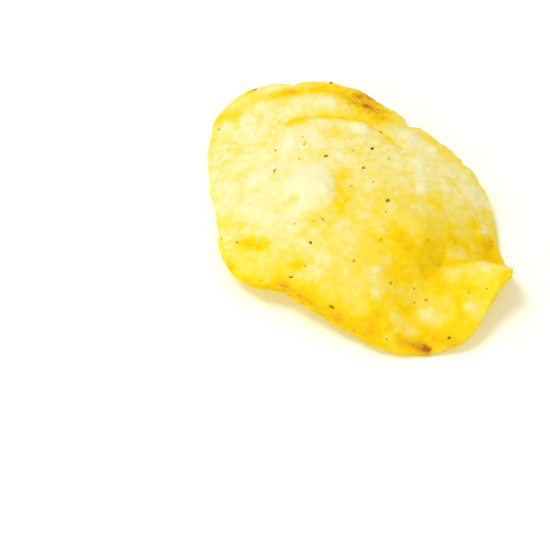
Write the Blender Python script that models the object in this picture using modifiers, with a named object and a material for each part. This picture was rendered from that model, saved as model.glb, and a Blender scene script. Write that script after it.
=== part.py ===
"""A single potato crisp, lying as it fell: a thin fried slice, domed and blistered, with one corner
curled up into a ridge. Metres, +Z up, back of the crisp towards +Y."""

import math

import bmesh
import bpy
import numpy as np
from mathutils import Matrix

MM = 0.001
GOLDEN_ANGLE = math.radians(137.5)

# The slice.
THICKNESS = 1.3 * MM
EDGE_ROUNDING = 0.32 * MM
CROWN_HEIGHT = 9.2
CROWN_POWER = 2.2
GRID_CELLS = 40
GRID_BEARING = -33.0        # the grid's lines run along and across the curled corner, in degrees

# Rim of the slice, anticlockwise from the front: x, y and height of the middle of the sheet, in mm.
RIM = (
    (11.7, -30.0, 0.3),     # front foot
    (18.1, -28.5, 2.2),
    (23.2, -22.6, 5.2),
    (26.6, -18.1, 7.4),     # tip of the curled corner
    (26.0, -10.6, 0.9),     # right foot, in the dip behind the curled corner
    (24.6, -4.0, 1.4),
    (23.3, 3.8, 3.0),
    (19.2, 11.1, 4.4),
    (13.3, 16.7, 5.2),
    (5.7, 23.2, 5.8),
    (-1.5, 28.3, 6.0),
    (-8.7, 29.8, 5.6),
    (-18.3, 29.8, 4.3),
    (-24.5, 25.3, 1.8),
    (-26.6, 17.8, 0.35),    # left foot
    (-26.1, 8.4, 1.0),
    (-24.6, -2.8, 2.4),
    (-23.6, -11.6, 3.0),
    (-19.2, -17.2, 3.4),
    (-12.9, -19.8, 3.8),    # arch of the front left side
    (-3.3, -26.2, 2.6),
    (6.1, -30.2, 1.0),
)

# Curl of the rim along the front left arch: bearing of its middle, half its length in degrees, its
# height in mm, and how sharply it turns up at the rim.
CURL_BEARING = -120.0
CURL_SPREAD = 30.0
CURL_HEIGHT = 1.2
CURL_POWER = 12

# Waves of the rim: how many go round, how far out each reaches in mm, and where it starts.
RIM_WAVES = ((13, 0.10, 2.1), (23, 0.10, 4.0), (37, 0.07, 1.3))

# Nicks in the rim: bearing and half width in degrees, and depth in mm.
NICKS = (
    (-38.6, 3.0, 0.8),      # in front of the curled corner
    (28.0, 3.0, 0.6),
    (61.5, 3.6, 0.95),
    (77.0, 3.0, 0.3),
    (111.0, 4.0, 0.75),
    (119.0, 3.0, 0.7),
)

# Long forms pressed into the sheet: start x, y, end x, y, half width and height in mm.
LONG_FORMS = (
    (25.7, -10.4, 15.7, -11.4, 3.6, -2.9),    # dip behind the curled corner
    (15.7, -11.2, 10.2, -20.2, 4.5, -1.2),    # valley that carries on from it
    (21.7, -15.2, 13.7, -17.2, 7.0, -2.4),    # slack of the sheet round the curled corner
    (-10.5, 23.0, -2.8, 22.8, 1.9, 0.9),      # long blister along the back
    (-8.4, 19.4, -2.0, 18.8, 1.0, -0.5),      # crease inside it
    (-0.2, 18.6, 3.3, 16.7, 1.0, -0.5),       # crease inside the back right rim
    (3.3, 16.7, 8.1, 11.3, 1.0, -0.4),
    (-19.0, 5.4, -14.4, 5.9, 1.1, 0.35),      # small ridge on the left
)

# Blisters that stand alone: x, y, radius and height in mm. The first two make the big one, and the
# negative one is a dimple in it.
BLISTERS = (
    (-8.4, 1.9, 5.9, 0.85),
    (-8.4, -1.0, 5.9, 0.85),
    (-11.3, -2.0, 1.3, -0.5),
    (1.1, 15.8, 2.0, 0.5),
    (9.6, 15.2, 2.3, 0.5),
    (13.9, 12.0, 1.6, 0.35),
    (11.5, 7.7, 1.8, 0.4),
    (11.7, 1.6, 1.5, 0.3),
    (20.2, 3.4, 2.1, 0.4),
    (22.2, -5.1, 1.6, 0.35),
    (17.8, -10.1, 2.2, 0.3),
    (16.8, -15.7, 2.2, 0.35),
    (19.4, -22.9, 1.6, 0.3),
    (12.2, -23.9, 2.4, 0.45),
    (-11.8, 13.3, 1.7, 0.4),
    (-19.6, 21.6, 1.5, 0.35),
    (-23.0, -0.2, 1.8, 0.35),
    (-16.3, -13.2, 1.9, 0.35),
)

# Small blisters scattered over the whole slice by a seeded draw: how far out they reach, how much
# longer the slice is than wide, and how far each is shifted, in mm.
SCATTER_SEED = 7
SCATTER_COUNT = 70
SCATTER_REACH = 27.0
SCATTER_LENGTHENING = 1.1
SCATTER_SHIFT = 1.2
SCATTER_RADIUS = (1.0, 1.9)
SCATTER_HEIGHT = (0.10, 0.24)

# Grains of seasoning stuck to the upper face: x, y, length and width in mm, and turn in degrees.
SPECKS = (
    (-5.5, 8.2, 0.9, 0.6, 20),
    (2.8, 10.2, 0.8, 0.6, 0),
    (4.6, 15.4, 0.8, 0.5, -40),
    (5.2, -2.8, 0.8, 0.7, 60),
    (1.1, 5.1, 0.6, 0.6, 0),
    (-18.3, 29.0, 0.9, 0.6, 30),
    (-4.3, 29.3, 0.6, 0.6, 0),
    (-24.7, 21.4, 0.7, 0.5, -15),
    (-14.6, 6.1, 1.0, 0.5, 60),
    (-14.4, 11.5, 0.7, 0.6, 90),
    (-9.3, 11.5, 0.8, 0.4, 90),
    (-6.2, -6.6, 0.9, 0.4, -35),
    (-8.4, -11.1, 0.6, 0.6, 0),
    (3.9, -10.9, 0.7, 0.4, 80),
    (12.0, -9.5, 0.7, 0.4, 80),
    (-0.9, -15.0, 0.6, 0.5, 0),
    (-11.9, -17.2, 0.8, 0.5, 15),
    (-21.2, -8.4, 0.7, 0.6, 0),
    (13.9, -12.7, 0.6, 0.5, 10),
    (5.2, -18.5, 0.6, 0.6, 0),
    (11.9, -20.8, 0.8, 0.6, 0),
    (-4.8, -23.0, 1.0, 0.6, -30),
    (15.7, -28.0, 0.8, 0.6, -30),
)
SPECK_THICKNESS = 0.6 * MM
SPECK_SINK = 0.1 * MM


def closed_curve(stations, bearing):
    """Smooth closed curve through stations, read at each bearing (radians) round the origin."""
    points = np.array(stations)
    knots = np.arctan2(points[:, 1], points[:, 0])
    order = np.argsort(knots)
    points = points[order]
    knots = knots[order]
    count = len(knots)
    wrapped_points = np.vstack([points[-2:], points, points[:2]])
    full_turn = 2 * math.pi
    wrapped_knots = np.concatenate([knots[-2:] - full_turn, knots, knots[:2] + full_turn])
    span = (wrapped_knots[2:] - wrapped_knots[:-2])[:, None]
    slopes = (wrapped_points[2:] - wrapped_points[:-2]) / span
    around = np.where(bearing < knots[0], bearing + full_turn, bearing)
    index = np.clip(np.searchsorted(knots, around, side="right") - 1, 0, count - 1)
    start = wrapped_knots[index + 2]
    step = wrapped_knots[index + 3] - start
    s = ((around - start) / step)[:, None]
    step = step[:, None]
    return (
        (2 * s**3 - 3 * s**2 + 1) * wrapped_points[index + 2]
        + (s**3 - 2 * s**2 + s) * step * slopes[index + 1]
        + (-2 * s**3 + 3 * s**2) * wrapped_points[index + 3]
        + (s**3 - s**2) * step * slopes[index + 2]
    )


def rim_line(bearing):
    """Rim of the sheet at each bearing, with its waves and nicks."""
    line = closed_curve(RIM, bearing)
    out = sum(reach * np.sin(turns * bearing + start) for turns, reach, start in RIM_WAVES)
    for middle, spread, depth in NICKS:
        off_nick = (bearing - math.radians(middle)) / math.radians(spread)
        out = out - depth * np.exp(-off_nick**2)
    length = np.hypot(line[:, 0], line[:, 1])
    line[:, :2] *= (1 + out / length)[:, None]
    return line


def long_form(x, y, form):
    """Rounded ridge or trough along a line, fading out to the sides and past the ends."""
    x0, y0, x1, y1, half_width, height = form
    run_x = x1 - x0
    run_y = y1 - y0
    along = ((x - x0) * run_x + (y - y0) * run_y) / (run_x**2 + run_y**2)
    along = np.clip(along, 0, 1)
    distance = np.hypot(x - x0 - along * run_x, y - y0 - along * run_y)
    return height * np.exp(-((distance / half_width) ** 2))


def blister(x, y, form):
    """Round cap, flat on top and steeper at its foot."""
    x0, y0, radius, height = form
    share = np.hypot(x - x0, y - y0) / radius
    return height * np.clip(1 - share**3, 0, 1) ** 2


def scattered_blisters():
    """Places of the small blisters, spread evenly by the golden angle and then shifted a little."""
    draw = np.random.default_rng(SCATTER_SEED)
    forms = []
    for number in range(SCATTER_COUNT):
        reach = SCATTER_REACH * math.sqrt((number + 0.5) / SCATTER_COUNT)
        bearing = number * GOLDEN_ANGLE
        shift_x, shift_y = draw.uniform(-SCATTER_SHIFT, SCATTER_SHIFT, 2)
        x = reach * math.cos(bearing) + shift_x
        y = reach * math.sin(bearing) * SCATTER_LENGTHENING + shift_y
        forms.append((x, y, draw.uniform(*SCATTER_RADIUS), draw.uniform(*SCATTER_HEIGHT)))
    return forms


def sheet(a, b):
    """Middle of the sheet, in mm, for a and b from -1 to 1 on a square that is rounded to a disc."""
    u = a * np.sqrt(1 - b**2 / 2)
    v = b * np.sqrt(1 - a**2 / 2)
    reach = np.hypot(u, v)
    bearing = np.arctan2(v, u) + math.radians(GRID_BEARING)
    bearing = (bearing + math.pi) % (2 * math.pi) - math.pi
    rim = rim_line(bearing)
    x = reach * rim[:, 0]
    y = reach * rim[:, 1]
    z = CROWN_HEIGHT + (rim[:, 2] - CROWN_HEIGHT) * reach**CROWN_POWER
    off_curl = (bearing - math.radians(CURL_BEARING)) / math.radians(CURL_SPREAD)
    z = z + CURL_HEIGHT * np.exp(-off_curl**2) * reach**CURL_POWER
    inside = 1 - reach**6
    for form in LONG_FORMS:
        z = z + long_form(x, y, form) * inside
    for form in list(BLISTERS) + scattered_blisters():
        z = z + blister(x, y, form)
    return np.stack([x, y, z], axis=1)


def food_material(name, colour, roughness):
    """Plain food surface of one colour."""
    material = bpy.data.materials.new(name)
    material.use_nodes = True
    shader = material.node_tree.nodes["Principled BSDF"]
    shader.inputs["Base Color"].default_value = (*colour, 1.0)
    shader.inputs["Roughness"].default_value = roughness
    shader.inputs["Metallic"].default_value = 0.0
    material.diffuse_color = (*colour, 1.0)
    return material


def add_object(name, mesh, collection):
    """Object that holds a mesh, linked to a collection."""
    thing = bpy.data.objects.new(name, mesh)
    collection.objects.link(thing)
    return thing


def mesh_as_shown(thing):
    """Mesh of an object with its modifiers applied."""
    bpy.context.view_layer.update()
    graph = bpy.context.evaluated_depsgraph_get()
    return bpy.data.meshes.new_from_object(thing.evaluated_get(graph))


def make_slice(collection):
    """Thin blistered slice: an open sheet, thickened, with its cut edge rounded and its feet flat."""
    bm = bmesh.new()
    bmesh.ops.create_grid(bm, x_segments=GRID_CELLS, y_segments=GRID_CELLS, size=1.0)
    a = np.array([vertex.co.x for vertex in bm.verts])
    b = np.array([vertex.co.y for vertex in bm.verts])
    places = sheet(a, b) * MM
    for vertex, place in zip(bm.verts, places):
        vertex.co = place
    mesh = bpy.data.meshes.new("crisp")
    bm.to_mesh(mesh)
    bm.free()
    crisp = add_object("crisp", mesh, collection)

    thicken = crisp.modifiers.new("Thickness", "SOLIDIFY")
    thicken.thickness = THICKNESS
    thicken.offset = 0.0
    thicken.use_even_offset = True

    rounding = crisp.modifiers.new("Rounded edge", "BEVEL")
    rounding.width = EDGE_ROUNDING
    rounding.segments = 2
    rounding.limit_method = "ANGLE"
    rounding.angle_limit = math.radians(50)

    crisp.data = mesh_as_shown(crisp)
    crisp.data.name = "crisp"
    crisp.modifiers.clear()
    for vertex in crisp.data.vertices:
        vertex.co.z = max(vertex.co.z, 0.0)
    return crisp


def make_specks(crisp, helpers):
    """Grains of seasoning, each lying in the upper face and sunk a little into it."""
    for number, (x, y, length, width, turn) in enumerate(SPECKS):
        hit, place, normal, _ = crisp.ray_cast((x * MM, y * MM, 0.03), (0.0, 0.0, -1.0))
        if not hit:
            continue
        bm = bmesh.new()
        bmesh.ops.create_icosphere(bm, subdivisions=1, radius=0.5)
        sizes = Matrix.Diagonal((length * MM, width * MM, SPECK_THICKNESS, 1.0))
        turned = Matrix.Rotation(math.radians(turn), 4, "Z")
        lying = normal.to_track_quat("Z", "Y").to_matrix().to_4x4()
        moved = Matrix.Translation(place - normal * SPECK_SINK)
        bmesh.ops.transform(bm, matrix=moved @ lying @ turned @ sizes, verts=bm.verts)
        mesh = bpy.data.meshes.new(f"speck_{number}")
        bm.to_mesh(mesh)
        bm.free()
        speck = add_object(f"speck_{number}", mesh, helpers)
        speck.hide_render = True
        speck.display_type = "WIRE"


def join_specks(crisp, helpers):
    """One union of the slice and every grain, after which the grains' own objects go."""
    union = crisp.modifiers.new("Specks", "BOOLEAN")
    union.operation = "UNION"
    union.operand_type = "COLLECTION"
    union.collection = helpers
    union.solver = "EXACT"
    joined = mesh_as_shown(crisp)
    crisp.modifiers.clear()
    crisp.data = joined
    crisp.data.name = "crisp"
    for speck in list(helpers.objects):
        bpy.data.objects.remove(speck, do_unlink=True)


def stand_on_origin(crisp):
    """Middle of the outline's box over the origin, feet on the ground."""
    corners = np.array([vertex.co for vertex in crisp.data.vertices])
    middle = (corners.min(axis=0) + corners.max(axis=0)) / 2
    crisp.data.transform(Matrix.Translation((-middle[0], -middle[1], -corners[:, 2].min())))


def main():
    for thing in list(bpy.data.objects):
        bpy.data.objects.remove(thing, do_unlink=True)
    parts = bpy.data.collections.new("potato_crisp")
    helpers = bpy.data.collections.new("helpers")
    bpy.context.scene.collection.children.link(parts)
    bpy.context.scene.collection.children.link(helpers)

    crisp = make_slice(parts)
    make_specks(crisp, helpers)
    join_specks(crisp, helpers)
    stand_on_origin(crisp)

    crisp.data.materials.clear()
    crisp.data.materials.append(food_material("fried_potato", (0.86, 0.62, 0.10), 0.5))
    crisp.data.shade_smooth()
    crisp.data.set_sharp_from_angle(angle=math.radians(60))


main()
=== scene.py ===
import math

import bmesh
import bpy
import numpy as np
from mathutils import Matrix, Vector


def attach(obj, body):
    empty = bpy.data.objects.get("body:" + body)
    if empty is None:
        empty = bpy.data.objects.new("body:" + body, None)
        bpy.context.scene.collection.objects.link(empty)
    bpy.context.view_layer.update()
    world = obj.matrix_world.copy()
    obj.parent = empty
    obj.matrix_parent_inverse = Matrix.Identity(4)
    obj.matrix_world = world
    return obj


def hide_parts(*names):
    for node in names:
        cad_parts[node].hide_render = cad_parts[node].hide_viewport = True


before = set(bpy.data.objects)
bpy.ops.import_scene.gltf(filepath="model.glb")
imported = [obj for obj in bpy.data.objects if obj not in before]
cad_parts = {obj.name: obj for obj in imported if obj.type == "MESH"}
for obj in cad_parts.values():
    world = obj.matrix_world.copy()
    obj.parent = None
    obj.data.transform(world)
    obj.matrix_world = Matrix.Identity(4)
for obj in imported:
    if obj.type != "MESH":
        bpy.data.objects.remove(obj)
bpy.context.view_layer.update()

millimetre = 0.001
fullTurn = 2 * math.pi


# Rim of the slice, in mm and degrees. Stations go anticlockwise from the front foot: x, y and height
# of the middle of the sheet. Waves are how many there are, reach and start.
rimForm = {
    "stations": [
        (11.7, -30.0, 0.3),      # front foot
        (18.1, -28.5, 2.2),
        (23.2, -22.6, 5.2),
        (26.6, -18.1, 7.4),      # tip of the curled corner
        (26.0, -10.6, 0.9),      # right foot
        (24.6, -4.0, 1.4),
        (23.3, 3.8, 3.0),
        (19.2, 11.1, 4.4),
        (13.3, 16.7, 5.2),
        (5.7, 23.2, 5.8),
        (-1.5, 28.3, 6.0),
        (-8.7, 29.8, 5.6),
        (-18.3, 29.8, 4.3),
        (-24.5, 25.3, 1.8),
        (-26.6, 17.8, 0.35),     # left foot
        (-26.1, 8.4, 1.0),
        (-24.6, -2.8, 2.4),
        (-23.6, -11.6, 3.0),
        (-19.2, -17.2, 3.4),
        (-12.9, -19.8, 3.8),     # arch of the front left side
        (-3.3, -26.2, 2.6),
        (6.1, -30.2, 1.0),
    ],
    "waves": [(13, 0.10, 2.1), (23, 0.10, 4.0), (37, 0.07, 1.3)],
    "fineWaves": [(71, 0.035, 0.2), (113, 0.03, 2.7), (167, 0.02, 5.1)],
    "nicks": [      # bearing, half width and depth
        (-38.6, 3.0, 0.8),
        (28.0, 3.0, 0.6),
        (61.5, 3.6, 0.95),
        (77.0, 3.0, 0.3),
        (111.0, 4.0, 0.75),
        (119.0, 3.0, 0.7),
    ],
    "curl": {"bearing": -120.0, "spread": 30.0, "height": 1.2, "power": 12},
}


def closedCurve(stations, bearing):
    # smooth closed curve: between two neighbouring stations a cubic that leaves each one in the
    # direction from the station before it to the one after it, read by bearing round the origin
    points = np.array(stations)
    knots = np.arctan2(points[:, 1], points[:, 0])
    order = np.argsort(knots)
    points, knots = points[order], knots[order]
    allPoints = np.vstack([points[-2:], points, points[:2]])
    allKnots = np.concatenate([knots[-2:] - fullTurn, knots, knots[:2] + fullTurn])
    slopes = (allPoints[2:] - allPoints[:-2]) / (allKnots[2:] - allKnots[:-2])[:, None]
    around = np.where(bearing < knots[0], bearing + fullTurn, bearing)
    index = np.clip(np.searchsorted(knots, around, side="right") - 1, 0, len(knots) - 1)
    step = (allKnots[index + 3] - allKnots[index + 2])[:, None]
    s = (around - allKnots[index + 2])[:, None] / step
    return (
        (2 * s**3 - 3 * s**2 + 1) * allPoints[index + 2]
        + (s**3 - 2 * s**2 + s) * step * slopes[index + 1]
        + (3 * s**2 - 2 * s**3) * allPoints[index + 3]
        + (s**3 - s**2) * step * slopes[index + 2]
    )


def angleOff(bearing, middle, spread):
    # how far a bearing is from a middle one, in spreads
    return (bearing - math.radians(middle)) / math.radians(spread)


def wrapped(bearing):
    # the same bearing, between minus half a turn and half a turn
    return (bearing + math.pi) % fullTurn - math.pi


def waveSum(bearing, waves):
    # sum of waves round the rim: reach times the sine of how many times the bearing, plus the start
    return sum(reach * np.sin(turns * bearing + start) for turns, reach, start in waves)


def rimLine(bearing):
    # the closed curve through the stations, moved out or in by waves and by narrow nicks
    line = closedCurve(rimForm["stations"], bearing)
    out = waveSum(bearing, rimForm["waves"] + rimForm["fineWaves"])
    for middleBearing, spread, depth in rimForm["nicks"]:
        out = out - depth * np.exp(-angleOff(bearing, middleBearing, spread) ** 2)
    line[:, :2] *= (1 + out / np.hypot(line[:, 0], line[:, 1]))[:, None]
    return line


# The sheet, in mm. Long forms are start x, y, end x, y, half width and height. The cut edge is
# roughened by waves: how many, reach and shift from row to row.
sheetForm = {
    "thickness": 1.3,
    "crownHeight": 9.2,
    "crownPower": 2.2,
    "gridBearing": -33.0,
    "cells": 256,      # upper face; the under face has half as many
    "edgeRows": 7,
    "edgeBulge": 0.22,
    "edgeSquareness": 0.6,
    "edgeWaves": [(61, 0.05, 1.7), (97, 0.04, -2.3)],
    "longFormPower": 6,      # long forms fade to the rim by this power of the way from the centre
    "longForms": [
        (25.7, -10.4, 15.7, -11.4, 3.6, -2.9),     # dip behind the curled corner
        (15.7, -11.2, 10.2, -20.2, 4.5, -1.2),     # valley that carries on from it
        (21.7, -15.2, 13.7, -17.2, 7.0, -2.4),     # slack of the sheet round the curled corner
        (-10.5, 23.0, -2.8, 22.8, 1.9, 0.9),       # long blister along the back
        (-8.4, 19.4, -2.0, 18.8, 1.0, -0.5),       # crease inside it
        (-0.2, 18.6, 3.3, 16.7, 1.0, -0.5),        # crease inside the back right rim
        (3.3, 16.7, 8.1, 11.3, 1.0, -0.4),
        (-19.0, 5.4, -14.4, 5.9, 1.1, 0.35),       # small ridge on the left
    ],
}


def longForm(x, y, form):
    # bell-shaped across a line and past its ends: height times exp(-(distance / half width) squared)
    x0, y0, x1, y1, halfWidth, height = form
    runX, runY = x1 - x0, y1 - y0
    along = np.clip(((x - x0) * runX + (y - y0) * runY) / (runX**2 + runY**2), 0, 1)
    distance = np.hypot(x - x0 - along * runX, y - y0 - along * runY)
    return height * np.exp(-((distance / halfWidth) ** 2))


def middleSheet(reach, bearing, withCaps=False):
    # each point lies on the straight line in plan from the centre to the rim. Its height falls from
    # the crown to the rim by a power of its reach, and the curl, long forms and caps are added
    bearing = wrapped(bearing)
    rim = rimLine(bearing)
    x = reach * rim[:, 0]
    y = reach * rim[:, 1]
    z = sheetForm["crownHeight"] + (rim[:, 2] - sheetForm["crownHeight"]) * reach ** sheetForm["crownPower"]
    curl = rimForm["curl"]
    off = angleOff(bearing, curl["bearing"], curl["spread"])
    z = z + curl["height"] * np.exp(-(off**2)) * reach ** curl["power"]
    for form in sheetForm["longForms"]:
        z = z + longForm(x, y, form) * (1 - reach ** sheetForm["longFormPower"])
    if withCaps:
        for form in allCaps:
            z = z + cap(x, y, form)
    return np.stack([x, y, z], axis=1)


def unit(vectors):
    # each vector over its own length
    return vectors / np.linalg.norm(vectors, axis=1)[:, None]


def sheetDirections(reach, bearing):
    # up: square to the sheet, from its slopes along and round; out: square to up and to the rim's run
    step = 0.01
    leastReach = 0.05      # at the centre itself the sheet has no run round it
    around = np.maximum(reach, leastReach)
    along = middleSheet(reach + step, bearing) - middleSheet(np.maximum(reach - step, 0.0), bearing)
    turned = middleSheet(around, bearing + step) - middleSheet(around, bearing - step)
    up = unit(np.cross(along, turned))
    out = unit(np.cross(turned, up))
    return up, out


# Blisters, in mm. Named ones are x, y, radius and height, and the first two make the big one; the rest
# come from seeded draws.
blisterForm = {
    "named": [
        (-8.4, 1.9, 5.9, 0.85),
        (-8.4, -1.0, 5.9, 0.85),
        (-11.3, -2.0, 1.3, -0.5),
        (1.1, 15.8, 2.0, 0.5),
        (9.6, 15.2, 2.3, 0.5),
        (13.9, 12.0, 1.6, 0.35),
        (11.5, 7.7, 1.8, 0.4),
        (11.7, 1.6, 1.5, 0.3),
        (20.2, 3.4, 2.1, 0.4),
        (22.2, -5.1, 1.6, 0.35),
        (17.8, -10.1, 2.2, 0.3),
        (16.8, -15.7, 2.2, 0.35),
        (19.4, -22.9, 1.6, 0.3),
        (12.2, -23.9, 2.4, 0.45),
        (-11.8, 13.3, 1.7, 0.4),
        (-19.6, 21.6, 1.5, 0.35),
        (-23.0, -0.2, 1.8, 0.35),
        (-16.3, -13.2, 1.9, 0.35),
    ],
    "scatter": {
        "seed": 7,
        "count": 70,
        "turn": 137.5,      # degrees from one to the next
        "reach": 27.0,
        "lengthening": 1.1,
        "shift": 1.2,
        "radius": (1.0, 1.9),
        "height": (0.10, 0.24),
    },
    "foam": {"seed": 11, "count": 1400, "jitter": 1.1, "height": 0.36, "wall": 0.28},
    "underFoam": {"seed": 12, "count": 900, "jitter": 0.8, "height": 0.16, "wall": 0.36},
    "foamSpread": {
        "turn": 137.508,
        "halfWidth": 29.0,
        "halfDepth": 33.0,
        "leastSize": 0.55,
        "sizeRange": 1.5,
        "sizeSkew": 4,
        "window": 3.2,      # no bubble reaches further
        "leastWall": 0.2,
    },
    "lively": {
        "line": (-19.0, 17.0, -11.0, 9.0, 9.0),     # where the foam shows most, and half its width
        "least": 0.42,
        "gain": 1.3,
        "steady": 0.75,
        "drifting": 0.4,
        # in radians per mm along x and y; the bend's, along x and y; and the bend's reach
        "waves": [(0.9, 0.5, 0.0, 0.8, 0.7), (0.6, -1.0, 0.7, 0.0, 0.9)],
    },
    "smooth": (-8.4, 0.5, 7.0, 1.6),      # the big blister, where hardly any foam shows
    "smoothShare": 0.9,
}


def cap(x, y, form):
    # round cap: height times (1 - (distance / radius) cubed) squared, so flat on top
    x0, y0, radius, height = form
    share = np.hypot(x - x0, y - y0) / radius
    return height * np.clip(1 - share**3, 0, 1) ** 2


def scatteredCaps(form):
    # places on a golden-angle spiral, each shifted, sized and raised by a seeded draw
    draw = np.random.default_rng(form["seed"])
    shift = form["shift"]
    caps = []
    for number in range(form["count"]):
        reach = form["reach"] * math.sqrt((number + 0.5) / form["count"])
        bearing = number * math.radians(form["turn"])
        x = reach * math.cos(bearing) + draw.uniform(-shift, shift)
        y = reach * math.sin(bearing) * form["lengthening"] + draw.uniform(-shift, shift)
        caps.append((x, y, draw.uniform(*form["radius"]), draw.uniform(*form["height"])))
    return caps


allCaps = blisterForm["named"] + scatteredCaps(blisterForm["scatter"])


def foamSeeds(form):
    # golden-angle spiral over the slice with a seeded shift, a seeded size and a seeded rise for each
    # bubble; sizes are skewed, so that a few large bubbles stand among many small ones
    spread = blisterForm["foamSpread"]
    draw = np.random.default_rng(form["seed"])
    number = np.arange(form["count"]) + 0.5
    reach = np.sqrt(number / form["count"])
    bearing = number * math.radians(spread["turn"])
    jitter = form["jitter"]
    x = spread["halfWidth"] * reach * np.cos(bearing) + draw.uniform(-jitter, jitter, form["count"])
    y = spread["halfDepth"] * reach * np.sin(bearing) + draw.uniform(-jitter, jitter, form["count"])
    share = draw.uniform(0, 1, form["count"])
    size = spread["leastSize"] + spread["sizeRange"] * share ** spread["sizeSkew"]
    rise = draw.uniform(0, 1, form["count"])
    return x, y, size, rise


def foam(x, y, form):
    # distance to the nearest bubble's middle and to the next one, each over the bubble's size. Where they
    # are alike there is a wall; inside, the bubble rises with the difference. Returns rise and wall
    window, leastWall = blisterForm["foamSpread"]["window"], blisterForm["foamSpread"]["leastWall"]
    farAway, widestGap = 99.0, 3.0
    near = np.full(x.shape, farAway)
    second = near.copy()
    lift = np.zeros(x.shape)
    for seedX, seedY, size, rise in zip(*foamSeeds(form)):
        close = np.nonzero((np.abs(x - seedX) < window) & (np.abs(y - seedY) < window))[0]
        distance = np.hypot(x[close] - seedX, y[close] - seedY) / size
        before = near[close]
        closer = distance < before
        second[close] = np.where(closer, before, np.minimum(second[close], distance))
        near[close] = np.where(closer, distance, before)
        lift[close] = np.where(closer, rise, lift[close])
    gap = np.clip(second - near, 0, widestGap)
    rises = lift * (1 - np.exp(-((gap / (2 * form["wall"])) ** 2)))
    walls = (leastWall + (1 - leastWall) * lift) * np.exp(-((gap / form["wall"]) ** 2))
    return rises, walls


def lively(x, y):
    # how much the foam shows: most in the upper left, less elsewhere, and coming and going over about
    # 6 mm by a product of two slow waves that cross
    form = blisterForm["lively"]
    drift = 1.0
    for alongX, alongY, bendX, bendY, bend in form["waves"]:
        drift = drift * np.sin(alongX * x + alongY * y + bend * np.sin(bendX * x + bendY * y))
    most = np.clip(longForm(x, y, (*form["line"], 1.0)) * form["gain"], 0, 1)
    part = form["least"] + (1 - form["least"]) * most
    return part * (form["steady"] + form["drifting"] * drift)


def squareGrid(cells):
    # square of -1 to 1 rounded to a disc: u = a sqrt(1 - b b / 2), v = b sqrt(1 - a a / 2)
    line = np.linspace(-1, 1, cells + 1)
    a, b = (side.ravel() for side in np.meshgrid(line, line))
    u = a * np.sqrt(1 - b**2 / 2)
    v = b * np.sqrt(1 - a**2 / 2)
    return np.hypot(u, v), np.arctan2(v, u) + math.radians(sheetForm["gridBearing"])


def gridFaces(cells):
    # the grid's cells, four corners each, anticlockwise from above
    width = cells + 1
    corner = (np.arange(cells)[:, None] * width + np.arange(cells)[None, :]).ravel()
    return np.stack([corner, corner + 1, corner + 1 + width, corner + width], axis=1)


def borderLoop(cells):
    # numbers of the grid's border points, anticlockwise from the corner at -1, -1
    side = np.arange(cells)
    width = cells + 1
    return np.concatenate(
        [side, side * width + cells, cells * width + cells - side, (cells - side) * width]
    )


print("working out the upper face")
cells = sheetForm["cells"]
halfThickness = sheetForm["thickness"] / 2
reach, bearing = squareGrid(cells)
middle = middleSheet(reach, bearing, withCaps=True)
up, out = sheetDirections(reach, bearing)
planX, planY = middle[:, 0], middle[:, 1]
smooth = 1 - blisterForm["smoothShare"] * np.clip(cap(planX, planY, blisterForm["smooth"]), 0, 1)
show = lively(planX, planY) * smooth
bubble, wall = foam(planX, planY, blisterForm["foam"])
topOffset = halfThickness + blisterForm["foam"]["height"] * bubble * show
topSheet = middle + up * topOffset[:, None]

print("working out the under face")
underReach, underBearing = squareGrid(cells // 2)
underMiddle = middleSheet(underReach, underBearing, withCaps=True)
underUp, underOut = sheetDirections(underReach, underBearing)
underBubble, underWall = foam(underMiddle[:, 0], underMiddle[:, 1], blisterForm["underFoam"])
underOffset = halfThickness + blisterForm["underFoam"]["height"] * underBubble
underSheet = underMiddle - underUp * underOffset[:, None]

# cut edge: square-shouldered round from the upper face to the under face, roughened along its run
border = borderLoop(cells)
edgeTurn = np.linspace(math.pi / 2, -math.pi / 2, sheetForm["edgeRows"] + 2)[1:-1]
edgeBearing = bearing[border]
squareness = sheetForm["edgeSquareness"]
edgeRows = []
for row, turn in enumerate(edgeTurn):
    rise = math.copysign(abs(math.sin(turn)) ** squareness, math.sin(turn))
    bulge = sheetForm["edgeBulge"] * math.cos(turn) ** squareness
    waves = [(turns, size, shift * row) for turns, size, shift in sheetForm["edgeWaves"]]
    rough = waveSum(edgeBearing, waves)
    offset = np.where(rise > 0, topOffset[border], halfThickness) * rise
    edgeRows.append(middle[border] + up[border] * offset[:, None] + out[border] * (bulge + rough)[:, None])
edge = np.vstack(edgeRows)

places = np.vstack([topSheet, edge, underSheet])
places[:, 2] = np.maximum(places[:, 2], 0.0)     # feet stand flat

# what comes over the origin, as in the part: the middle of the box in plan
boxMiddle = (places.min(axis=0) + places.max(axis=0)) / 2 * (1, 1, 0)

rings = [border]
for row in range(len(edgeTurn)):
    rings.append(len(topSheet) + row * len(border) + np.arange(len(border)))
edgeFaces = [
    np.stack([upper, lower, np.roll(lower, -1), np.roll(upper, -1)], axis=1)
    for upper, lower in zip(rings[:-1], rings[1:])
]
underStart = len(topSheet) + len(edge)
coarse = borderLoop(cells // 2) + underStart
fine = rings[-1]
joinFaces = np.stack(
    [fine[::2], coarse, np.roll(coarse, -1), np.roll(fine, -2)[::2], fine[1::2]], axis=1
)
faces = (
    gridFaces(cells).tolist()
    + np.vstack(edgeFaces).tolist()
    + joinFaces.tolist()
    + (gridFaces(cells // 2)[:, ::-1] + underStart).tolist()
)


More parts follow.
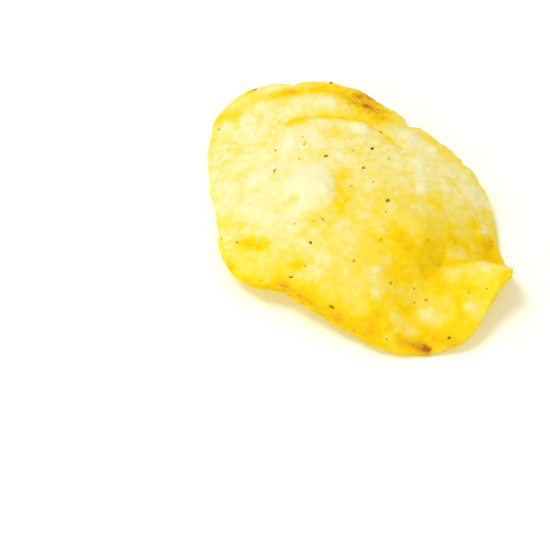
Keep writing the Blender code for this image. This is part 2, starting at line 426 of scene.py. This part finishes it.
def meshFromArrays(name, points, faceList):
    # points in mm, moved by the box's middle, and lists of corners become one smooth mesh object
    mesh = bpy.data.meshes.new(name)
    mesh.from_pydata((points - boxMiddle) * millimetre, [], faceList)
    mesh.polygons.foreach_set("use_smooth", np.ones(len(mesh.polygons), dtype=bool))
    mesh.update()
    thing = bpy.data.objects.new(name, mesh)
    bpy.context.scene.collection.objects.link(thing)
    return thing


def addAttribute(thing, name, values):
    # one number for each point, which the material reads by name
    layer = thing.data.attributes.new(name, "FLOAT", "POINT")
    layer.data.foreach_set("value", np.asarray(values, dtype=np.float32))


crisp = meshFromArrays("crisp_surface", places, faces)


# How far each place is browned by frying, from 0, cream, through yellow and gold to 1, dark brown, with
# painted light and shade added in places: sheen on the side facing the lamp, highlights on bubble tops and
# the curl's crest, and shade in creases, in the grooves between bubbles and round the big blister. Places
# are in mm: start x, y, end x, y, half width, and how much the place adds or takes.
friedAndPaintedLightForm = {
    "base": 0.42,
    "cutEdge": 0.77,
    "cutEdgeElsewhere": 0.66,      # share of it that stays away from the front left
    "cutEdgeWaves": [(23, 0.05, 0.0), (41, 0.04, 1.0)],
    "underFace": 0.46,
    # under face: darker joins and paler bubble tops, partly painted shade and highlight as on the upper
    # face
    "underFoam": 0.1,
    "underBrown": 0.8,
    # darker joins between bubbles: partly their deeper yellow, partly painted shade in the grooves
    "wall": 0.16,
    # paler bubble tops: partly thin dry skin, partly painted highlight
    "bubble": -0.24,
    "blister": -0.10,
    "rim": 0.05,
    "rimWidth": 0.03,      # as a share of the way from the centre
    "frontLeftRim": 0.19,
    "frontLeft": {"bearing": -122.0, "spread": 36.0},
    "goldSpeckled": 0.3,      # share of the gold that comes as speckle
    # blisterFoot: darker ring round the foot of the big blister, painted shade where the dome meets the
    # sheet
    "blisterFoot": {"place": (-8.4, 0.5), "stretch": 1.26, "radius": 5.0, "width": 0.6, "amount": 0.08},
    "broad": [
        (-19.0, 15.0, -9.0, 9.0, 11.0, -0.18),       # pale upper left: painted sheen of the side facing the lamp
        # paler left: painted light on the side facing the lamp; paler right: painted light against the
        # lamp's shade
        (-20.0, 0.0, -12.0, -4.0, 6.0, -0.15),
        (9.0, 11.0, 18.0, 3.0, 5.0, -0.15),
        (8.0, -14.0, 21.0, -9.5, 6.5, 0.20),         # deep yellow round the curled corner
        (5.0, -25.0, 17.0, -28.0, 5.0, 0.19),
        (-13.0, -18.5, 1.0, -26.5, 2.6, 0.17),
        (22.0, -22.0, 16.0, -19.0, 4.0, 0.10),
        (-18.4, -16.2, -13.2, -18.5, 1.1, 0.14),     # band along the front left rim
        (-13.2, -18.5, -3.8, -24.9, 1.3, 0.18),
        (-3.8, -24.9, 3.0, -28.0, 1.1, 0.14),
    ],
    "gold": [
        (-14.9, 26.2, -11.8, 26.3, 1.3, 0.25),       # band along the back
        (-18.4, 25.6, -17.4, 25.8, 0.7, 0.16),
        (-11.8, 27.0, -6.0, 27.2, 1.6, 0.28),
        (-25.4, 23.6, -21.8, 23.3, 1.5, 0.30),       # left of the back
        (-12.2, 17.5, -10.3, 18.3, 0.9, 0.30),       # creases, darker along them: painted shade in the folds
        (-10.3, 18.3, -6.1, 19.6, 0.7, 0.10),
        (-6.1, 19.6, -2.3, 18.6, 0.8, 0.30),
        (-2.3, 18.6, 3.0, 18.9, 0.9, 0.16),
        (1.4, 18.0, 3.6, 16.4, 0.5, 0.22),
        (3.9, 16.2, 6.2, 13.6, 0.45, 0.20),
        (6.4, 13.4, 8.1, 11.3, 0.45, 0.16),
        (-2.6, 3.4, -2.8, -3.6, 1.5, 0.20),          # beside the big blister, on its right and lower side: painted shade of the dome
        (-8.8, -6.0, -4.4, -5.4, 1.6, 0.12),
        (-11.4, -1.6, -10.8, -1.8, 0.75, 0.42),      # in its dimple
        (26.2, -18.0, 25.2, -19.8, 0.6, 0.32),       # right side of the curled tip
        (23.3, -5.2, 23.7, -6.4, 0.6, 0.34),         # right rim
        (22.2, -5.6, 23.2, -7.4, 0.8, 0.26),
        (-19.9, -9.4, -16.6, -10.4, 1.3, 0.34),      # left of the front
        (-21.0, -4.4, -20.7, -5.6, 0.7, 0.16),
        (-22.8, -13.4, -22.0, -14.0, 0.9, 0.22),
        (-10.8, -14.8, -10.2, -15.0, 0.9, 0.26),
        (7.4, -10.2, 8.2, -11.6, 1.3, 0.20),         # in the valley
        (12.0, -11.0, 14.0, -12.6, 1.5, 0.10),
        (16.3, -7.8, 16.9, -8.0, 0.8, 0.26),
        (14.5, -12.3, 20.5, -13.8, 1.1, 0.08),
        (11.2, -15.0, 11.6, -15.4, 1.2, 0.14),
        (14.3, -18.0, 14.6, -18.6, 1.2, 0.10),
        (7.3, -22.0, 7.6, -22.4, 1.3, 0.16),
        (17.5, -21.8, 17.6, -25.0, 0.7, 0.15),
        (2.6, -25.2, 6.0, -27.0, 1.4, 0.08),
        (6.8, -28.6, 10.8, -28.8, 1.0, 0.26),
        (12.6, -27.4, 16.2, -29.2, 1.0, 0.13),
        (13.4, -1.6, 13.8, -1.9, 1.0, 0.14),
        (20.6, -3.0, 21.0, -4.0, 1.0, 0.16),
        (22.4, 0.8, 23.0, -0.6, 0.7, 0.16),
        (16.4, 5.2, 18.6, 2.4, 0.4, 0.18),           # fine line inside the right rim
    ],
    "brown": [
        (-3.6, 26.6, 0.4, 25.6, 1.8, 0.24),          # browned stretch of the back right rim
        (-1.8, 23.6, 2.6, 22.4, 2.0, 0.32),
        (0.6, 25.0, 4.6, 20.9, 2.0, 0.29),
        (2.3, 25.2, 3.0, 24.4, 0.8, 0.26),
        (3.2, 22.4, 4.6, 21.2, 0.9, 0.12),
        (2.6, 20.4, 4.8, 17.8, 0.9, 0.14),
        (4.8, 20.6, 6.4, 18.6, 1.2, 0.12),
        (23.0, -9.0, 25.4, -10.2, 1.0, 0.16),
        (-19.8, 28.4, -18.8, 28.8, 0.4, 0.30),       # beside the speck on the back left rim
        (8.6, -29.0, 11.2, -29.4, 0.9, 0.22),        # front foot
        (11.3, -29.1, 11.9, -29.5, 0.55, 0.75),
    ],
    "pale": [
        (-8.9, 3.0, -8.7, -1.0, 3.6, -0.22),         # big blister
        (-10.0, 23.2, -3.0, 22.6, 1.5, -0.24),       # long blister along the back
        (0.4, 15.6, 0.8, 14.9, 1.7, -0.22),          # row inside the right rim
        (8.1, 15.6, 10.8, 13.6, 1.5, -0.20),
        (13.4, 12.0, 14.2, 11.0, 1.2, -0.18),
        (16.0, 6.6, 16.4, 6.2, 1.0, -0.12),
        (11.1, 5.2, 11.2, 0.9, 1.0, -0.20),
        (8.2, 2.6, 8.8, 2.2, 0.9, -0.14),
        (18.2, 2.2, 22.2, 1.6, 1.3, -0.14),
        (20.8, 4.0, 22.6, 2.4, 1.2, -0.20),
        (22.6, -3.6, 22.8, -5.0, 0.8, -0.24),
        (18.6, -5.4, 19.0, -5.8, 1.2, -0.13),
        (17.6, -10.3, 19.4, -10.5, 1.4, -0.17),
        (8.4, -7.8, 9.0, -8.4, 1.1, -0.14),
        (16.2, -15.0, 22.8, -15.8, 1.5, -0.15),      # crest of the curl, paler: painted highlight along the fold
        (22.8, -15.8, 26.4, -17.4, 0.7, -0.14),
        (19.0, -23.2, 19.8, -23.6, 1.0, -0.14),
        (11.0, -23.6, 13.3, -25.0, 1.2, -0.22),
        (6.0, -24.7, 8.6, -26.6, 1.4, -0.30),
        (4.5, -28.2, 5.2, -28.4, 0.7, -0.18),
        (2.6, -17.0, 3.0, -20.6, 1.1, -0.15),
        (3.4, 8.6, 3.7, 8.2, 1.0, -0.10),
        (2.0, 1.5, 2.4, 1.2, 1.0, -0.10),
        (-5.6, 17.0, -5.2, 16.4, 0.9, -0.14),
        (-8.0, 14.4, -7.4, 12.2, 1.2, -0.18),
        (-11.8, 14.6, -12.0, 11.4, 1.1, -0.25),
        (-2.8, 11.6, -2.2, 6.0, 0.8, -0.08),
        (-19.4, 21.2, -21.0, 18.4, 1.1, -0.15),
        (-16.0, 23.0, -13.2, 20.4, 0.9, -0.13),
        (-16.0, 28.0, -11.4, 29.2, 0.7, -0.22),
        (-18.8, 6.0, -14.4, 6.6, 0.9, -0.20),
        (-23.6, 6.2, -22.8, 5.6, 1.5, -0.18),
        (-24.2, 0.4, -24.6, 1.6, 1.2, -0.14),
        (-17.6, -2.4, -15.8, -5.2, 1.1, -0.10),
        (-13.7, -10.0, -13.4, -10.6, 1.3, -0.12),
        (-7.1, -14.2, -5.5, -14.4, 0.9, -0.18),
        (-6.0, -22.0, -5.0, -21.6, 0.9, -0.12),
    ],
}


def patches(x, y, name):
    # sum of the soft patches of one kind
    return sum(longForm(x, y, form) for form in friedAndPaintedLightForm[name])


# how far each point is browned, plus painted light and shade, and the spots that the skin breaks up into
# speckle
side = friedAndPaintedLightForm["frontLeft"]
frontLeft = np.exp(-(angleOff(wrapped(bearing), side["bearing"], side["spread"]) ** 2))
nearRim = np.exp(-(((1 - reach) / friedAndPaintedLightForm["rimWidth"]) ** 2))
caps = sum(cap(planX, planY, form) / form[3] for form in allCaps if form[3] > 0)
fried = (
    friedAndPaintedLightForm["base"]
    + patches(planX, planY, "broad")
    + patches(planX, planY, "pale")
    # paler bubble tops and darker joins: partly the skin's own colour, partly painted highlight and shade
    + friedAndPaintedLightForm["bubble"] * bubble * show
    + friedAndPaintedLightForm["wall"] * wall * show
    + friedAndPaintedLightForm["blister"] * np.clip(caps, 0, 1)
    + nearRim * (friedAndPaintedLightForm["rim"] + friedAndPaintedLightForm["frontLeftRim"] * frontLeft)
)
# painted shade in a ring round the foot of the big blister
foot = friedAndPaintedLightForm["blisterFoot"]
footDistance = np.hypot(planX - foot["place"][0], (planY - foot["place"][1]) / foot["stretch"])
fried = fried + foot["amount"] * np.exp(-(((footDistance - foot["radius"]) / foot["width"]) ** 2))
# the gold holds painted shade along the creases and beside the big blister; a share of it goes to the
# speckle
gold = patches(planX, planY, "gold")
fried = fried + (1 - friedAndPaintedLightForm["goldSpeckled"]) * gold
spots = friedAndPaintedLightForm["goldSpeckled"] * gold + patches(planX, planY, "brown")
elsewhere = friedAndPaintedLightForm["cutEdgeElsewhere"]
edgeFried = friedAndPaintedLightForm["cutEdge"] * (elsewhere + (1 - elsewhere) * frontLeft[border])
edgeFried = edgeFried + waveSum(edgeBearing, friedAndPaintedLightForm["cutEdgeWaves"])
rows = len(edgeTurn)
addAttribute(crisp, "fried", np.concatenate([
    fried,
    np.tile(edgeFried, rows),
    friedAndPaintedLightForm["underFace"] + friedAndPaintedLightForm["underFoam"] * (underWall - underBubble),
]))
addAttribute(crisp, "spots", np.concatenate([
    spots,
    np.tile(spots[border], rows),
    patches(underMiddle[:, 0], underMiddle[:, 1], "brown") * friedAndPaintedLightForm["underBrown"],
]))
print("crisp made,", len(faces), "faces")


class Strand:
    # a socket that takes part in sums, so that an expression on values adds its Math nodes
    def __init__(self, look, socket):
        self.look = look
        self.socket = socket

    def maths(self, operation, first, second):
        return self.look.add("ShaderNodeMath", {"operation": operation}, {0: first, 1: second})

    def __add__(self, other):
        return self.maths("ADD", self, other)

    def __radd__(self, other):
        return self.maths("ADD", other, self)

    def __sub__(self, other):
        return self.maths("SUBTRACT", self, other)

    def __rsub__(self, other):
        return self.maths("SUBTRACT", other, self)

    def __mul__(self, other):
        return self.maths("MULTIPLY", self, other)

    def __rmul__(self, other):
        return self.maths("MULTIPLY", other, self)

    def within(self, low, high):
        # 0 at low, 1 at high, held between
        sockets = {"Value": self, "From Min": low, "From Max": high, "To Min": 0.0, "To Max": 1.0}
        return self.look.add("ShaderNodeMapRange", {"clamp": True}, sockets)


class Look:
    # one material and the nodes that make it
    def __init__(self, name, flatColour):
        self.material = bpy.data.materials.new(name)
        self.material.use_nodes = True
        self.material.diffuse_color = (*flatColour, 1.0)
        self.tree = self.material.node_tree
        self.tree.nodes.clear()

    def add(self, kind, settings, sockets, output=0):
        node = self.tree.nodes.new(kind)
        for name, value in settings.items():
            if name == "stops":
                ramp = node.color_ramp
                while len(ramp.elements) < len(value):
                    ramp.elements.new(1.0)
                for element, (position, colour) in zip(ramp.elements, value):
                    element.position = position
                    element.color = (*colour, 1.0)
            else:
                setattr(node, name, value)
        for name, value in sockets.items():
            socket = node.inputs[name]
            if isinstance(value, Strand):
                self.tree.links.new(value.socket, socket)
            else:
                socket.default_value = value
        return Strand(self, node.outputs[output])

    def attribute(self, name):
        return self.add("ShaderNodeAttribute", {"attribute_name": name}, {}, "Fac")

    def noise(self, scale, detail, roughness):
        where = self.add("ShaderNodeTexCoord", {}, {}, "Object")
        sockets = {"Vector": where, "Scale": scale, "Detail": detail, "Roughness": roughness}
        return self.add("ShaderNodeTexNoise", {}, sockets, "Fac")

    def blend(self, share, first, second):
        # colour that goes from the first to the second; the node's sockets 6 and 7 take the two
        sockets = {"Factor": share, 6: first, 7: second}
        return self.add("ShaderNodeMix", {"data_type": "RGBA", "clamp_factor": True}, sockets, 2)

    def finish(self, shader):
        end = self.tree.nodes.new("ShaderNodeOutputMaterial")
        self.tree.links.new(shader.socket, end.inputs["Surface"])
        return self.material


potatoLook = {
    "stops": [
        (0.00, (0.845, 0.905, 0.74)),      # cream
        (0.22, (0.835, 0.845, 0.49)),
        (0.42, (0.845, 0.725, 0.155)),     # yellow
        (0.60, (0.93, 0.655, 0.010)),      # gold
        (0.74, (0.785, 0.50, 0.001)),
        (0.90, (0.655, 0.352, 0.008)),     # browned
        (1.06, (0.54, 0.21, 0.010)),
        (1.30, (0.26, 0.09, 0.006)),
    ],
    "flat": (0.84, 0.65, 0.09),
    "roughness": 0.48,
    "roughnessWander": 0.25,
    "gloss": 0.05,
    "cloud": (230.0, 2.0, 0.5),        # noise of patches of about 4 mm: scale, detail, roughness
    "mottle": (750.0, 3.0, 0.5),       # about 1.3 mm
    "grain": (3000.0, 2.0, 0.6),       # about a third of a mm
    "wander": {"cloud": 0.52, "mottle": 0.52, "grain": 0.07},
    "wanderFade": (1.1, 0.6),          # wander on cream, and what frying takes from it
    "speckle": {"mottle": 1.8, "grain": 0.5},
    "relief": {"mottle": 0.6, "grain": 0.4},
    "bump": {"Strength": 0.5, "Distance": 0.00013},
    "shineThrough": (0.92, 0.86, 0.07, 1.0),
    "shineShare": 0.52,
    "shineFade": (0.62, 1.04),         # levels between which frying takes it away
    "shineLoss": 0.85,
}


def friedPotato():
    # the level of frying, with its painted light and shade, picks the colour from the stops,
    # and light shines through where it is low
    look = Look("fried_potato_skin", potatoLook["flat"])
    fried = look.attribute("fried")
    spots = look.attribute("spots")
    cloud = look.noise(*potatoLook["cloud"])
    mottle = look.noise(*potatoLook["mottle"])
    grain = look.noise(*potatoLook["grain"])
    part = potatoLook["wander"]
    wander = (cloud - 0.5) * part["cloud"] + (mottle - 0.5) * part["mottle"] + (grain - 0.5) * part["grain"]
    part = potatoLook["speckle"]
    speckle = 1.0 + (mottle - 0.5) * part["mottle"] + (grain - 0.5) * part["grain"]
    onCream, taken = potatoLook["wanderFade"]
    level = fried + spots * speckle + wander * (onCream - fried * taken)
    span = potatoLook["stops"][-1][0]
    stops = [(place / span, colour) for place, colour in potatoLook["stops"]]
    colour = look.add("ShaderNodeValToRGB", {"stops": stops}, {"Fac": level * (1 / span)}, "Color")
    part = potatoLook["relief"]
    height = mottle * part["mottle"] + grain * part["grain"]
    bump = look.add("ShaderNodeBump", {}, {**potatoLook["bump"], "Height": height})
    roughness = potatoLook["roughness"] + (grain - 0.5) * potatoLook["roughnessWander"]
    surface = look.add("ShaderNodeBsdfPrincipled", {}, {
        "Base Color": colour,
        "Roughness": roughness,
        "Specular IOR Level": potatoLook["gloss"],
        "Normal": bump,
    })
    through = look.add("ShaderNodeBsdfTranslucent", {}, {"Color": potatoLook["shineThrough"]})
    lost = level.within(*potatoLook["shineFade"]) * potatoLook["shineLoss"]
    share = (1.0 - lost) * potatoLook["shineShare"]
    mixed = look.add("ShaderNodeMixShader", {}, {0: share, 1: surface, 2: through})
    return look.finish(mixed)


crisp.data.materials.append(friedPotato())
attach(crisp, "root")
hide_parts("crisp")


# Grains of seasoning, in mm: x, y, length, width, turn in degrees, and how light from 0 to 1.
speckForm = {
    "large": [
        (-5.5, 8.2, 0.9, 0.6, 20, 0.25),
        (2.8, 10.2, 0.8, 0.6, 0, 0.05),
        (4.6, 15.4, 0.8, 0.5, -40, 0.4),
        (5.2, -2.8, 0.8, 0.7, 60, 0.25),
        (1.1, 5.1, 0.6, 0.6, 0, 0.4),
        (-18.3, 29.0, 0.9, 0.6, 30, 0.35),
        (-4.3, 29.3, 0.6, 0.6, 0, 0.3),
        (-24.7, 21.4, 0.7, 0.5, -15, 0.8),
        (-14.6, 6.1, 1.0, 0.5, 60, 0.7),
        (-14.4, 11.5, 0.7, 0.6, 90, 0.8),
        (-9.3, 11.5, 0.8, 0.4, 90, 0.75),
        (-6.2, -6.6, 0.9, 0.4, -35, 0.5),
        (-8.4, -11.1, 0.6, 0.6, 0, 0.15),
        (3.9, -10.9, 0.7, 0.4, 80, 0.7),
        (12.0, -9.5, 0.7, 0.4, 80, 1.0),
        (-0.9, -15.0, 0.6, 0.5, 0, 0.7),
        (-11.9, -17.2, 0.8, 0.5, 15, 0.3),
        (-21.2, -8.4, 0.7, 0.6, 0, 0.75),
        (13.9, -12.7, 0.6, 0.5, 10, 1.0),
        (5.2, -18.5, 0.6, 0.6, 0, 0.8),
        (11.9, -20.8, 0.8, 0.6, 0, 0.75),
        (-4.8, -23.0, 1.0, 0.6, -30, 0.25),
        (15.7, -28.0, 0.8, 0.6, -30, 0.25),
    ],
    "small": [
        (-19.2, 28.6, 0.4, 0.4, 0, 0.7),
        (-9.6, 13.6, 0.4, 0.4, 0, 0.7),
        (12.0, -8.0, 0.4, 0.4, 20, 0.7),
        (-16.9, -17.4, 0.6, 0.4, 0, 0.7),
        (-24.0, -6.6, 0.5, 0.4, 0, 0.7),
        (9.5, -18.4, 0.5, 0.4, 50, 0.7),
        (9.6, -21.2, 0.5, 0.4, 0, 0.7),
        (-1.0, -27.0, 0.5, 0.4, -20, 0.7),
        (-10.2, 8.2, 0.4, 0.4, 0, 0.7),
        (-0.6, 9.4, 0.4, 0.4, 0, 0.7),
        (5.7, 7.8, 0.4, 0.4, 0, 0.7),
        (2.8, 1.6, 0.4, 0.4, 0, 0.7),
        (-1.0, 0.7, 0.6, 0.4, 0, 0.7),
        (4.9, -5.4, 0.4, 0.4, 0, 0.7),
        (-7.8, -6.9, 0.4, 0.3, 0, 0.7),
        (-11.2, -7.1, 0.4, 0.4, 0, 0.7),
        (-9.3, -15.3, 0.4, 0.4, 0, 0.7),
        (19.4, -20.5, 0.6, 0.4, 0, 0.7),
        (22.5, -20.2, 0.4, 0.4, 40, 0.7),
        (4.7, -28.4, 0.4, 0.4, 0, 0.7),
        (24.0, -5.6, 0.5, 0.4, 0, 0.7),
    ],
    "height": 0.42,
    "heightDraw": (0.8, 1.1),
    "usualWidth": 0.55,               # narrower grains are lower, wider ones higher, within limits
    "heightLimits": (0.6, 1.1),
    "uneven": (0.16, 0.12),           # two waves and three waves round a grain
    "sink": 0.06,
    "rings": 8,
    "segments": 12,
    "seed": 5,
}


def grains(form):
    # each grain is an uneven ball: radius 1 + small waves round and along, then stretched to its length,
    # width and height, turned, laid square to the sheet and moved to the upper face
    listed = np.array(form["large"] + form["small"], dtype=float)
    draw = np.random.default_rng(form["seed"])
    total = len(listed)
    rings, segments = form["rings"], form["segments"]
    polar = np.linspace(0, math.pi, rings + 1)[None, :, None]
    around = (np.arange(segments) / segments * fullTurn)[None, None, :]
    first, second = draw.uniform(0, fullTurn, (2, total, 1, 1))
    twofold, threefold = form["uneven"]
    radius = 1 + np.sin(polar) * (
        twofold * np.sin(2 * around + first) + threefold * np.sin(3 * around + second + 2 * polar)
    )
    ball = np.stack([
        radius * np.sin(polar) * np.cos(around),
        radius * np.sin(polar) * np.sin(around),
        radius * np.cos(polar) * np.ones_like(around),
    ], axis=-1)
    height = form["height"] * draw.uniform(*form["heightDraw"], total)
    height = height * np.clip(listed[:, 3] / form["usualWidth"], *form["heightLimits"])
    ball *= np.stack([listed[:, 2], listed[:, 3], height], axis=1)[:, None, None, :] / 2
    turn = np.radians(listed[:, 4])
    nearest = np.array([np.argmin((planX - x) ** 2 + (planY - y) ** 2) for x, y in listed[:, :2]])
    normal = up[nearest]
    heading = np.stack([np.cos(turn), np.sin(turn), 0 * turn], axis=1)
    across = unit(heading - normal * np.sum(normal * heading, axis=1)[:, None])
    beside = np.cross(normal, across)
    base = topSheet[nearest] - normal * form["sink"]
    base = base + np.stack([listed[:, 0] - planX[nearest], listed[:, 1] - planY[nearest], 0 * turn], axis=1)
    return (
        base[:, None, None, :]
        + ball[..., 0:1] * across[:, None, None, :]
        + ball[..., 1:2] * beside[:, None, None, :]
        + ball[..., 2:3] * normal[:, None, None, :]
    )


def ballFaces(total, rings, segments):
    # quads between rings of every ball; the pole rings are single points after merging
    ring = np.arange(rings)[:, None] * segments
    step = np.arange(segments)[None, :]
    after = (step + 1) % segments
    quads = np.stack([ring + step, ring + segments + step, ring + segments + after, ring + after], axis=-1)
    quads = quads.reshape(-1, 4)
    offset = np.arange(total)[:, None, None] * (rings + 1) * segments
    return (quads[None] + offset).reshape(-1, 4)


def mergePoles(thing):
    # joins the points that share a place, such as a ball's poles, and drops the faces that vanish
    samePlace = 0.000002
    shape = bmesh.new()
    shape.from_mesh(thing.data)
    bmesh.ops.remove_doubles(shape, verts=shape.verts[:], dist=samePlace)
    bmesh.ops.dissolve_degenerate(shape, edges=shape.edges[:], dist=samePlace / 2)
    bmesh.ops.recalc_face_normals(shape, faces=shape.faces[:])
    shape.to_mesh(thing.data)
    shape.free()


grainPoints = grains(speckForm)
total = len(grainPoints)
specks = meshFromArrays(
    "seasoning_specks",
    grainPoints.reshape(-1, 3),
    ballFaces(total, speckForm["rings"], speckForm["segments"]).tolist(),
)
tones = np.array(speckForm["large"] + speckForm["small"])[:, 5]
addAttribute(specks, "tone", np.repeat(tones, (speckForm["rings"] + 1) * speckForm["segments"]))
mergePoles(specks)

speckLook = {
    "dark": (0.125, 0.070, 0.001, 1.0),
    "light": (0.54, 0.385, 0.020, 1.0),
    "mottle": (2400.0, 3.0, 0.6),      # noise: scale, detail, roughness
    "mottleShare": 0.8,
    "bump": {"Strength": 0.4, "Distance": 0.0001},
    "roughness": 0.7,
    "gloss": 0.05,
}


def seasoning():
    # each grain's own tone, mottled, picks a colour between dark and light
    look = Look("seasoning", speckLook["dark"][:3])
    mottle = look.noise(*speckLook["mottle"])
    tone = look.attribute("tone") + (mottle - 0.5) * speckLook["mottleShare"]
    colour = look.blend(tone, speckLook["dark"], speckLook["light"])
    bump = look.add("ShaderNodeBump", {}, {**speckLook["bump"], "Height": mottle})
    surface = look.add("ShaderNodeBsdfPrincipled", {}, {
        "Base Color": colour,
        "Roughness": speckLook["roughness"],
        "Specular IOR Level": speckLook["gloss"],
        "Normal": bump,
    })
    return look.finish(surface)


specks.data.materials.append(seasoning())
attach(specks, "root")
print("specks made,", total, "grains")


# Floor with a painted yellow glow, sky and two lamps that point at the origin, in metres.
stage = {
    "floorSize": 4.0,
    "floorDrop": 0.00002,      # keeps the floor just clear of the feet
    "floorColour": (0.68, 0.68, 0.675, 1.0),
    "floorRoughness": 0.9,
    # the floor's yellow glow is painted light: it lightens and yellows the shadows, for light shone through
    # the crisp
    "floorPaintedGlow": (1.0, 0.80, 0.18, 1.0),
    "floorPaintedGlowStrength": 0.25,
    "skyStrength": 0.842,
    "key": {"place": (-0.245, 0.02, 0.59), "size": 0.32, "power": 2.8},
    "fill": {"place": (-0.32, -0.36, 0.12), "size": 0.30, "power": 0.62},      # low, from the front left
}

floorMesh = bpy.data.meshes.new("floor")
half = stage["floorSize"] / 2
corners = [(-half, -half, 0), (half, -half, 0), (half, half, 0), (-half, half, 0)]
floorMesh.from_pydata(corners, [], [(0, 1, 2, 3)])
floor = bpy.data.objects.new("floor", floorMesh)
floor.location.z = -stage["floorDrop"]
bpy.context.scene.collection.objects.link(floor)
floorLook = Look("white_floor", stage["floorColour"][:3])
floorSurface = floorLook.add("ShaderNodeBsdfPrincipled", {}, {
    "Base Color": stage["floorColour"],
    "Roughness": stage["floorRoughness"],
    "Specular IOR Level": 0.0,
    "Emission Color": stage["floorPaintedGlow"],
    "Emission Strength": stage["floorPaintedGlowStrength"],
})
floor.data.materials.append(floorLook.finish(floorSurface))

sky = bpy.data.worlds.new("studio")
bpy.context.scene.world = sky
sky.use_nodes = True
sky.node_tree.nodes["Background"].inputs["Color"].default_value = (1.0, 1.0, 1.0, 1.0)
sky.node_tree.nodes["Background"].inputs["Strength"].default_value = stage["skyStrength"]

for name in ("key", "fill"):
    light = bpy.data.lights.new(name, "AREA")
    light.shape = "DISK"
    light.size = stage[name]["size"]
    light.energy = stage[name]["power"]
    lamp = bpy.data.objects.new(name, light)
    lamp.location = stage[name]["place"]
    lamp.rotation_euler = (-Vector(stage[name]["place"])).to_track_quat("-Z", "Y").to_euler()
    bpy.context.scene.collection.objects.link(lamp)
bpy.context.scene.view_settings.view_transform = "Standard"

# The photograph looks down at 50 degrees from half a metre, at a place under the crisp's front left.
shot = {
    "aim": (-0.01474, -0.01183, 0.0),
    "elevation": 50.0,
    "distance": 0.5,
    "scale": 5.6,          # image points per mm at the aim
    "imageSide": 550,
    "sensorWidth": 36.0,
    "clipStart": 0.01,
}
tilt = math.radians(shot["elevation"])
aim = Vector(shot["aim"]) - Vector(boxMiddle * millimetre)
camera = bpy.data.cameras.new("camera")
camera.sensor_width = shot["sensorWidth"]
camera.lens = shot["sensorWidth"] * shot["scale"] * shot["distance"] / millimetre / shot["imageSide"]
camera.clip_start = shot["clipStart"]
view = bpy.data.objects.new("camera", camera)
view.location = aim + shot["distance"] * Vector((0.0, -math.cos(tilt), math.sin(tilt)))
view.rotation_euler = (aim - view.location).to_track_quat("-Z", "Y").to_euler()
bpy.context.scene.collection.objects.link(view)
bpy.context.scene.camera = view
